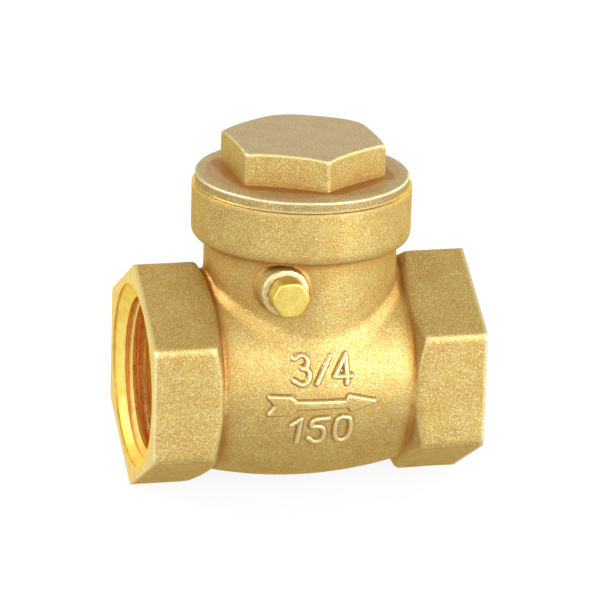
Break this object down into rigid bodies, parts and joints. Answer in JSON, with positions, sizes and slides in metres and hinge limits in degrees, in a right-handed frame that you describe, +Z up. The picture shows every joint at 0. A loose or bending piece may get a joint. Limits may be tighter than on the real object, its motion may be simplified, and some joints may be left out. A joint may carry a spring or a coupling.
{
  "type": "swing check valve",
  "caption": "Brass swing check valve with threaded hexagon ends, a screwed cap and a hinged disc that swings open with the flow and closes against back flow.",
  "frame": {"origin": "where the flow axis meets the cap's axis", "axes": "+X with the flow from inlet to outlet, +Z up the cap's axis, -Y towards the plug that closes the hinge pin's hole"},
  "size_m": [0.0536, 0.0375, 0.057],
  "materials": {
    "cast_brass": "sand cast and blasted, matt golden grain",
    "cap_brass": "blasted, matt and a little greyer",
    "bar_brass": "turned, satin yellow",
    "hanger_brass": "cast, matt",
    "steel": "turned",
    "seal_rubber": "moulded, matt",
    "fibre": "pressed fibre sheet"
  },
  "bodies": {
    "valve_body": {"body": "cast_brass", "cap": "cap_brass", "cap_gasket": "fibre", "pin_plug": "bar_brass", "plug_washer": "fibre", "hinge_pin": "steel"},
    "hanger": {"hanger": "hanger_brass"},
    "disc": {"disc_holder": "bar_brass", "disc_seal": "seal_rubber", "seal_washer": "steel", "seal_screw": "steel", "stem_washer": "steel", "stem_nut": "bar_brass"}
  },
  "joints": [
    {"name": "disc_swing", "type": "hinge", "parent": "valve_body", "child": "hanger", "pos_m": [-0.0062, 0, 0.01786], "axis": [0, -1, 0], "range_deg": [0, 40]},
    {"name": "disc_spin", "type": "hinge", "parent": "hanger", "child": "disc", "pos_m": [-0.0026, 0, 0], "axis": [1, 0, 0], "continuous": true}
  ]
}
